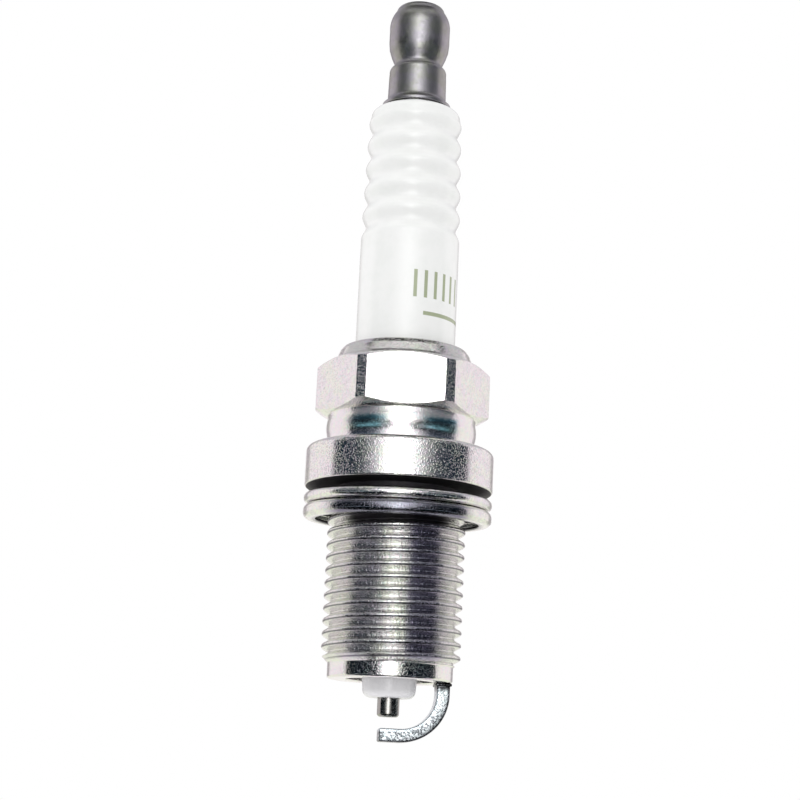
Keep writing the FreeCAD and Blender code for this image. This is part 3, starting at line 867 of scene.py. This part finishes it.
def modelInsulator(s):
    quarter = s["ribPitch"] / 4
    ribsEnd = s["ribFirst"] - 2 * quarter + s["ribs"] * s["ribPitch"]
    lastCrest = s["barrelR"] - s["taper"] * (ribsEnd - s["ribFirst"])
    edge = s["top"] - s["topRound"]
    inset = s["topRound"] * (1 - math.sqrt(0.5))
    topRise = arcThrough((s["topR"], edge), (s["topR"] - inset, s["top"] - inset),
                         (s["topR"] - s["topRound"], s["top"]), 10)
    outline = softened([
        (s["boreTip"], s["noseEnd"], 0.18),
        (s["noseR"], s["noseEnd"], s["noseRound"]),
        (s["noseRootR"], s["noseRootZ"], 0.8),
        (s["coneR"], s["coneZ"], 0.1),
        (s["coreR"], s["coneTop"], 0.1),
        (s["coreR"], s["coreTop"], 0.1),
        (s["shoulderR"], s["shoulderLow"], 0.3),
        (s["shoulderR"], s["shoulderTop"], 0.3),
        (s["barrelR"], s["shoulderTop"] + s["shoulderR"] - s["barrelR"], 0.3),
    ] + insulatorRibs(s) + [
        (lastCrest - 0.01, ribsEnd),
        (lastCrest - 0.07, ribsEnd + 0.25 * quarter),
        (s["topR"] + 0.05, ribsEnd + 0.7 * quarter),
        (s["topR"], ribsEnd + 1.1 * quarter),
        (s["topR"], edge),
    ] + topRise + [
        (s["bore"] + 0.3, s["top"]),
        (s["bore"], s["top"] - 0.3),
        (s["bore"], s["headSeat"] + s["bore"] - s["boreTip"]),
        (s["boreTip"], s["headSeat"]),
    ])
    return turnedPiece("glazedInsulator", outline, 160)


insulator = modelInsulator(insulatorSizes)
finishPiece(insulator, "plug", glazedCeramic(glazeLook), ["insulator"], 35)
print("insulator done")


electrodeSizes = {
    "r": 1.09, "end": -22.50, "edge": 0.34, "headR": 1.95, "headSeat": -5.37, "headTop": -3.92,
    "hollow": 0.62, "hollowLow": -20.90,
}

electrodeLook = dict(platingLook, colour=(0.36, 0.35, 0.33), cream=(0.33, 0.33, 0.29),
                     teal=(0.42, 0.55, 0.54), violet=(0.56, 0.48, 0.58),
                     roughness=(0.14, 0.22), slope=0.005, hue=0.15, pits=0.2)


def modelElectrode(s):
    outline = softened([
        (0.0, s["end"]),
        (s["r"], s["end"], s["edge"]),
        (s["r"], s["headSeat"], 0.05),
        (s["headR"], s["headSeat"] + s["headR"] - s["r"], 0.1),
        (s["headR"], s["headTop"], 0.44),
        (s["hollow"], s["headTop"]),
        (s["hollow"], s["hollowLow"]),
        (0.0, s["hollowLow"]),
    ])
    return turnedPiece("centreElectrode", outline, 96)


electrodeMetal = brightMetal("turnedNickel", electrodeLook, stretch=(0.4, 0.4, 1.8))
electrode = modelElectrode(electrodeSizes)
finishPiece(electrode, "plug", electrodeMetal, ["centre_electrode"], 30)
print("electrode done")


studSizes = {
    "collarR": 3.45, "collarLow": 40.20, "collarTop": 40.60, "m4": 1.97, "m4Root": 1.570,
    "pitch": 0.70, "rootHeight": 41.80, "grooveR": (1.2, 3.0), "top": 48.60, "shank": 1.85,
    "foot": 1.45, "footEnd": 10.33, "footLength": 4.20, "ringPitch": 0.60, "ringDepth": 0.12,
}

terminalLook = dict(platingLook, colour=(0.385, 0.37, 0.395), cream=(0.36, 0.36, 0.33),
                    teal=(0.34, 0.37, 0.35), violet=(0.38, 0.33, 0.41), roughness=(0.32, 0.42),
                    grain=5.0, slope=0.005, hue=0.3, pits=0.12)


def modelStud(s):
    # a ringed foot in the glass, a long shank, a collar and a threaded end
    dip = s["ringDepth"]
    footTop = s["footEnd"] + s["footLength"]
    foot = [(0, s["footEnd"]), (s["foot"] - 2 * dip, s["footEnd"]),
            (s["foot"], s["footEnd"] + 2 * dip)]
    rings = int((s["footLength"] - 4 * dip) / s["ringPitch"])
    for i in range(rings):
        z = s["footEnd"] + 3 * dip + i * s["ringPitch"]
        foot += [(s["foot"], z), (s["foot"] - dip, z + dip), (s["foot"] - dip, z + 2 * dip),
                 (s["foot"], z + 3 * dip)]
    undercut = s["m4Root"] - 0.06
    outline = softened(foot + [
        (s["foot"], footTop),
        (s["shank"], footTop + s["shank"] - s["foot"]),
        (s["shank"], s["collarLow"]),
        (s["collarR"], s["collarLow"], 0.10),
        (s["collarR"], s["collarTop"], 0.12),
        (undercut, s["collarTop"], 0.1),
        (undercut, s["collarTop"] + 0.25),
        (s["m4"], s["collarTop"] + 0.65, 0.05),
        (s["m4"], s["top"] - 0.5, 0.1),
        (s["m4"] - 0.5, s["top"], 0.1),
        (0, s["top"]),
    ])
    stud = turnedPiece("terminalStud", outline, 96)
    half = s["pitch"] / 2
    upper = [(s["m4"] + 0.3, 0.93 * half), (s["m4"] - 0.01, 0.9 * half),
             (s["m4Root"] + 0.05, 0.09), (s["m4Root"], 0.05)]
    section = upper + [(r, -z) for r, z in reversed(upper)]
    trim = (s["collarTop"] + 0.12, s["top"] + 2)
    cutThread(stud, section, s, (s["collarLow"], s["top"]), trim, s["grooveR"], 72)
    return stud


studMetal = brightMetal("nickelStud", dict(terminalLook, roughness=(0.34, 0.44)))
stud = modelStud(studSizes)
finishPiece(stud, "plug", studMetal, ["terminal_stud"], 30)
print("stud done")


nutSizes = {
    "low": 40.62, "flareR": 3.58, "flareTop": 40.964, "skirtR": 3.00, "skirtLow": 41.48,
    "skirtTop": 44.45, "waist": 45.50, "waistR": 2.52, "barrelR": 3.175, "barrelLow": 47.10,
    "barrelHigh": 49.40, "top": 52.00, "crownR": 1.93, "bore": 2.10, "boreTop": 48.90,
}


def modelNut(s):
    skirtR, skirtTop, waistR, waist = s["skirtR"], s["skirtTop"], s["waistR"], s["waist"]
    flare = (s["flareR"], s["flareTop"])
    crown = ((s["barrelR"] + s["crownR"]) / 2, s["top"] - 0.62)
    outline = softened([
        (s["bore"] + 0.3, s["low"]),
        (s["flareR"], s["low"], 0.10),
        (*flare, 0.12),
    ] + arcThrough(flare, (skirtR + 0.26, s["low"] + 0.56), (skirtR + 0.07, s["skirtLow"]), 6) + [
        (skirtR + 0.055, s["skirtLow"] + 0.20),
        (skirtR + 0.04, s["skirtLow"] + 0.60),
        (skirtR + 0.01, skirtTop - 0.60),
        (skirtR - 0.01, skirtTop - 0.20),
        (skirtR - 0.02, skirtTop, 0.12),
    ] + arcThrough((skirtR - 0.02, skirtTop), (skirtR - 0.10, skirtTop + 0.42),
                   (waistR + 0.10, waist - 0.38), 8) + [
        (waistR, waist - 0.10, 0.1),
        (waistR, waist + 0.10, 1.6),
        (s["barrelR"], s["barrelLow"], 4.0),
        (s["barrelR"], s["barrelHigh"]),
    ] + arcThrough((s["barrelR"], s["barrelHigh"]), (s["barrelR"] - 0.16, s["top"] - 1.42),
                   crown, 10)
      + arcThrough(crown, (crown[0] - 0.23, s["top"] - 0.16), (s["crownR"], s["top"]), 6) + [
        (0, s["top"]),
        (0, s["boreTop"] + s["bore"] * 0.3),
        (s["bore"], s["boreTop"], 0.05),
        (s["bore"], s["low"] + 0.3),
    ])
    return turnedPiece("terminalNut", outline, 144)


terminalMetal = brightMetal("nickelTerminal", terminalLook, stretch=(0.6, 0.6, 1.5))
nut = modelNut(nutSizes)
finishPiece(nut, "nut", terminalMetal, ["terminal_nut"], 35)
print("nut done")


cameraLook = {
    "lens": 83.33, "sensor": 36, "clip": (0.002, 20),
    "place": (-5.784, -184.04, -30.19), "turn": (102.133, -2.653, -2.288),
}
camera = bpy.data.objects.new("camera", bpy.data.cameras.new("camera"))
bpy.context.collection.objects.link(camera)
camera.data.lens = cameraLook["lens"]
camera.data.sensor_width = cameraLook["sensor"]
camera.data.clip_start, camera.data.clip_end = cameraLook["clip"]
camera.location = [v * mm for v in cameraLook["place"]]
camera.rotation_euler = [math.radians(a) for a in cameraLook["turn"]]
bpy.context.scene.camera = camera
bpy.context.scene.view_settings.view_transform = "Standard"


worldLook = {
    # angles are degrees above the horizon, or round from the side of the camera
    "diffuse": 1.0,
    # in front: dark room, brighter higher up, with a skylight
    "room": (0.008, (0.42, 0.80, 1.25)), "roomAt": 2.0,
    "frontBands": (((5.0, 9.0), 0.030, (0.42, 0.80, 1.25)),
                   ((14.0, 24.0), 0.22, (0.92, 0.97, 1.06)),
                   ((33.0, 38.0), 0.045, (1.0, 1.0, 1.0)),
                   ((48.0, 53.0), 0.85, (0.98, 1.0, 0.96)),
                   ((66.0, 71.0), 0.045, (1.0, 1.0, 1.0))),
    # a soft box beside the camera with a brighter core, dimmer low down
    "softbox": 2.5, "softboxAt": -0.5, "softboxWide": 17.5, "softboxEnd": (-24.0, -17.0),
    "softboxTop": (26.0, 44.0), "dim": 1.35, "dimBelow": (-6.0, 8.0),
    "core": 2.0, "coreWide": 6.0, "coreHeights": ((-29.0, 11.0, 3.0), (36.0, 46.0, 3.0)),
    # a table edge below the box, lit at both sides
    "table": (-11.5, -7.5, 1.5), "tableGlow": 0.6,
    "sides": (24.0, 76.0, 10.0), "sidesGlow": 0.8, "sidesTint": (0.80, 0.93, 1.0),
    # behind: a lit backdrop, greyer in two upright strips and above
    "behind": (86.0, 94.0), "backdropLow": (-56.0, -46.0),
    "backdrop": (1.0, 0.945, 0.965), "foot": (0.94, 0.96, 0.84), "footTop": (-14.0, 2.0),
    "base": (0.90, 0.80, 0.90), "baseTop": (-44.0, -33.0),
    "strips": (146.5, 166.5, 3.5), "stripsFrom": (-14.0, -6.0), "stripsDark": 0.58,
    "backBands": (((27.0, 34.0), 0.58, (1.0, 0.97, 1.05)),
                  ((56.0, 62.0), 0.045, (1.0, 1.0, 1.0))),
    # straight below: dim, with a lit lane along the line of view
    "underFront": 0.03, "underBack": 0.85, "lane": 0.6, "laneWide": 0.10,
}


def grey(strength, tint=(1.0, 1.0, 1.0)):
    # a strength, plain or a signal, as a colour
    if not isinstance(strength, Signal):
        return tuple(strength * t for t in tint)
    return strength.node("ShaderNodeCombineXYZ", {i: strength * t for i, t in enumerate(tint)})


def banded(colour, height, bands):
    for heights, strength, tint in bands:
        colour = height.ramp(*heights).tint(colour, grey(strength, tint))
    return colour


def frontLight(s, side, height, turn):
    offset = (side - s["softboxAt"]) / s["softboxWide"]
    bell = offset.bell()
    dim = (1.0 - height.ramp(*s["dimBelow"], "LINEAR")) * s["dim"]
    box = (bell * s["softbox"] - dim).maths("MAXIMUM", 0.0)
    box = box * (1.0 - height.ramp(*s["softboxTop"])) * height.ramp(*s["softboxEnd"])
    low, high = (height.between(*heights) for heights in s["coreHeights"])
    core = ((side - s["softboxAt"]) / s["coreWide"]).bell() * low.maths("MAXIMUM", high)
    table = height.between(*s["table"])
    lit = box + core * s["core"] + table * bell * s["tableGlow"]
    sides = table * turn.between(*s["sides"]) * s["sidesGlow"]
    front = banded(grey(*s["room"]), height, s["frontBands"])
    return front.plus(grey(lit)).plus(grey(sides, s["sidesTint"]))


def backLight(s, height, turn):
    wall = height.ramp(*s["footTop"]).tint(s["foot"], s["backdrop"])
    wall = height.ramp(*s["baseTop"]).tint(s["base"], wall)
    strips = turn.between(*s["strips"]) * height.ramp(*s["stripsFrom"])
    wall = wall.node("ShaderNodeVectorMath", {0: wall, "Scale": 1.0 - strips * s["stripsDark"]},
                     operation="SCALE")
    return banded(wall, height, s["backBands"])


def buildWorld(s):
    # the camera sees white, diffuse light is plain, and metal mirrors the studio
    world = bpy.data.worlds.new("studio")
    bpy.context.scene.world = world
    world.use_nodes = True
    tree = world.node_tree
    direction = Signal(tree, tree.nodes.new("ShaderNodeTexCoord").outputs["Generated"])
    ray = tree.nodes.new("ShaderNodeLightPath")
    cameraRay = Signal(tree, ray.outputs["Is Camera Ray"])
    glossyRay = Signal(tree, ray.outputs["Is Glossy Ray"])
    x, y, z = direction.parts()
    length = math.hypot(*cameraLook["place"][:2])
    leadX, leadY = (v / length for v in cameraLook["place"][:2])
    ahead = x * leadX + y * leadY
    across = y * leadX - x * leadY
    side = across.maths("ARCTAN2", ahead) * (180 / math.pi)
    height = z.maths("ARCSINE") * (180 / math.pi)
    turn = (side - s["roomAt"]).maths("ABSOLUTE")
    behind = turn.ramp(*s["behind"])
    glossy = behind.tint(frontLight(s, side, height, turn), backLight(s, height, turn))
    base = behind * (s["underBack"] - s["underFront"]) + s["underFront"]
    under = (across / s["laneWide"]).bell() * s["lane"] + base
    glossy = height.ramp(*s["backdropLow"]).tint(grey(under), glossy)
    look = glossyRay.tint(grey(s["diffuse"]), glossy)
    look = cameraRay.tint(look, (1.0, 1.0, 1.0))
    tree.links.new(look.socket, tree.nodes["Background"].inputs["Color"])


buildWorld(worldLook)


floorLook = {
    "height": -55.0, "size": 1600.0, "fade": (120.0, 620.0), "roughness": 0.9,
    "even": (0.86, 0.86, 0.86), "light": (0.87, 0.87, 0.87), "dark": (0.84, 0.84, 0.845),
}


def buildFloor(s):
    # far out the floor fades away, so that no edge shows against the background
    deselectAll()
    bpy.ops.mesh.primitive_plane_add(size=s["size"] * mm, location=(0, 0, s["height"] * mm))
    floor = bpy.context.object
    floor.name = "studioFloor"
    material, shader, place = newMaterial("paleFloor", 0.0, s["roughness"], s["even"])
    tree = material.node_tree
    cloud = place.noise(0.02, 3.0, 0.5)
    wire(shader, Base_Color=cloud.ramp(0.3, 0.7).tint(s["light"], s["dark"]))
    backface = tree.nodes.new("ShaderNodeNewGeometry").outputs["Backfacing"]
    cameraRay = tree.nodes.new("ShaderNodeLightPath").outputs["Is Camera Ray"]
    fromBelow = Signal(tree, backface) * Signal(tree, cameraRay)
    x, y = place.millimetres()[:2]
    hidden = fromBelow.maths("MAXIMUM", fromAxis(x, y).ramp(*s["fade"]))
    clear = tree.nodes.new("ShaderNodeBsdfTransparent")
    solid, empty = Signal(tree, shader.outputs[0]), Signal(tree, clear.outputs[0])
    mix = hidden.node("ShaderNodeMixShader", {0: hidden, 1: solid, 2: empty})
    tree.links.new(mix.socket, tree.nodes["Material Output"].inputs["Surface"])
    floor.data.materials.append(material)
    floor.visible_glossy = False


buildFloor(floorLook)


lampLook = {"place": (-0.25, -0.30, 0.55), "aim": (0, 0, 0.01), "size": 0.5, "energy": 0.4}


def addLamp(name, s):
    # a soft lamp that looks at the middle of the plug
    lamp = bpy.data.objects.new(name, bpy.data.lights.new(name, "AREA"))
    bpy.context.collection.objects.link(lamp)
    lamp.data.size = s["size"]
    lamp.data.energy = s["energy"]
    lamp.location = s["place"]
    x, y, z = (a - b for a, b in zip(s["aim"], s["place"]))
    lamp.rotation_euler = (math.pi / 2 + math.atan2(z, math.hypot(x, y)), 0,
                           math.atan2(y, x) - math.pi / 2)
    lamp.visible_glossy = False


addLamp("softTop", lampLook)
print("stage done")
